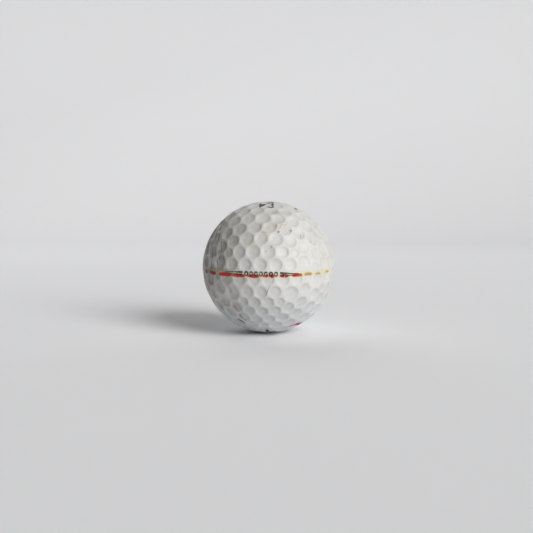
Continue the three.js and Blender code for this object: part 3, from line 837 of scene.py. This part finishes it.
studio = {
    # the wall's colour is graded darker than the floor's as painted shade
    "floorColour": "#F8F8F9", "shadedWallColour": "#E4E4E5", "gradeFrom": 0.3, "gradeTo": 1.05,
    "paperRoughness": 0.85,
    "floorWide": 8.0, "floorFront": 4.0, "sweepWide": 2.7, "sweepStart": 0.3,     # metres
    "bendStart": 0.62, "bendRadius": 0.6, "bendSteps": 24, "wallHeight": 1.6,
    # the key: a far softbox; its turn, height and width in degrees as the ball sees it, and the
    # strength that a white card held at the ball, facing it, would get
    "keyTurn": 43, "keyHeight": 27, "keyWide": 34, "keyStrength": 0.875,
    # panels: where they stand and what they face, in metres, their width, and their strength there
    "panels": {
        "topPanel": {"at": (0.41, -0.24, 0.82), "faces": (0, 0, 0), "wide": 0.7, "strength": 0.11},
        "backPanel": {"at": (-0.34, 0.58, 0.67), "faces": (0, 0, 0), "wide": 0.7, "strength": 0.09},
    },
    "airColour": "#E8EAEC", "airStrength": 0.75, "airFill": 0.045,
    "cameraDistance": 11.0,      # ball radii
    "cameraRise": 4.5,           # degrees above the parting plane
    "lens": 48.55, "frameShift": (-0.0035, 0.0009),
}


def makeSweep():
    # A wide pale floor, with a narrower paper sweep that bends up from it behind the ball. The
    # sweep starts with a flat stretch, so that its bend begins without a crease.
    bend, start, joint = studio["bendRadius"], studio["bendStart"], studio["sweepStart"]
    profile = [(joint, 0.0), (start, 0.0)]
    for i in range(1, studio["bendSteps"] + 1):
        a = math.radians(90 * i / studio["bendSteps"])
        profile.append((start + bend * math.sin(a), bend * (1 - math.cos(a))))
    profile.append((start + bend, bend + studio["wallHeight"]))
    half, wide, front = studio["sweepWide"] / 2, studio["floorWide"] / 2, -studio["floorFront"]
    points = [(x, y, z - ballRadius) for y, z in profile for x in (-half, half)]
    faces = [(2 * i, 2 * i + 1, 2 * i + 3, 2 * i + 2) for i in range(len(profile) - 1)]
    for x0, x1, y0, y1 in (
            (-wide, wide, front, joint), (-wide, -half, joint, start), (half, wide, joint, start)):
        first = len(points)
        points += [(x, y, -ballRadius) for x, y in ((x0, y0), (x1, y0), (x1, y1), (x0, y1))]
        faces.append(tuple(range(first, first + 4)))
    mesh = bpy.data.meshes.new("paperSweep")
    mesh.from_pydata(points, [], faces)
    mesh.polygons.foreach_set("use_smooth", [True] * len(mesh.polygons))
    sweep = bpy.data.objects.new("paperSweep", mesh)
    bpy.context.scene.collection.objects.link(sweep)

    # uncoated paper: flat, with painted shade that grades it darker up the wall
    material, tree, shader = newMaterial("sweepPaper")
    metres = addNode(tree, "ShaderNodeTexCoord").outputs["Object"]
    away = addNode(tree, "ShaderNodeSeparateXYZ", {0: metres}).outputs["Y"]
    paintedWallShade = addNode(tree, "ShaderNodeMapRange", {
        "Value": away, "From Min": studio["gradeFrom"], "From Max": studio["gradeTo"],
    }, interpolation_type="SMOOTHSTEP").outputs[0]
    colour = layColour(tree, hexColour(studio["floorColour"]), hexColour(studio["shadedWallColour"]), paintedWallShade)
    tree.links.new(colour, shader.inputs["Base Color"])
    shader.inputs["Roughness"].default_value = studio["paperRoughness"]
    mesh.materials.append(material)


def makeLights():
    sun = bpy.data.lights.new("keyLight", "SUN")
    sun.energy = math.pi * studio["keyStrength"]
    sun.angle = math.radians(studio["keyWide"])
    key = bpy.data.objects.new("keyLight", sun)
    aim = onBall(studio["keyTurn"], studio["keyHeight"])
    key.location = aim
    key.rotation_euler = (-aim).to_track_quat("-Z", "Y").to_euler()
    bpy.context.scene.collection.objects.link(key)
    for name, settings in studio["panels"].items():
        panel = bpy.data.lights.new(name, "AREA")
        panel.shape = "DISK"
        panel.size = settings["wide"]
        throw = Vector(settings["faces"]) - Vector(settings["at"])
        panel.energy = settings["strength"] * math.pi ** 2 * throw.length_squared
        light = bpy.data.objects.new(name, panel)
        light.location = settings["at"]
        light.rotation_euler = throw.to_track_quat("-Z", "Y").to_euler()
        bpy.context.scene.collection.objects.link(light)

    # the air around the set is pale to look at and lights the ball only faintly
    world = bpy.data.worlds.new("studioAir")
    world.use_nodes = True
    tree = world.node_tree
    seen = addNode(tree, "ShaderNodeLightPath").outputs["Is Camera Ray"]
    strength = addNode(tree, "ShaderNodeMapRange", {
        "Value": seen, "To Min": studio["airFill"], "To Max": studio["airStrength"]})
    air = tree.nodes["Background"]
    air.inputs["Color"].default_value = hexColour(studio["airColour"])
    tree.links.new(strength.outputs[0], air.inputs["Strength"])
    bpy.context.scene.world = world


def makeCamera():
    lens = bpy.data.cameras.new("camera")
    lens.lens = studio["lens"]
    lens.clip_start = 0.01
    lens.shift_x, lens.shift_y = studio["frameShift"]
    camera = bpy.data.objects.new("camera", lens)
    rise = math.radians(studio["cameraRise"])
    back = Vector((0, -math.cos(rise), math.sin(rise)))
    camera.location = back * ballRadius * studio["cameraDistance"]
    camera.rotation_euler = (-back).to_track_quat("-Z", "Y").to_euler()
    bpy.context.scene.collection.objects.link(camera)
    bpy.context.scene.camera = camera
    bpy.context.scene.view_settings.view_transform = "Standard"


makeSweep()
makeLights()
makeCamera()
print("studio made")
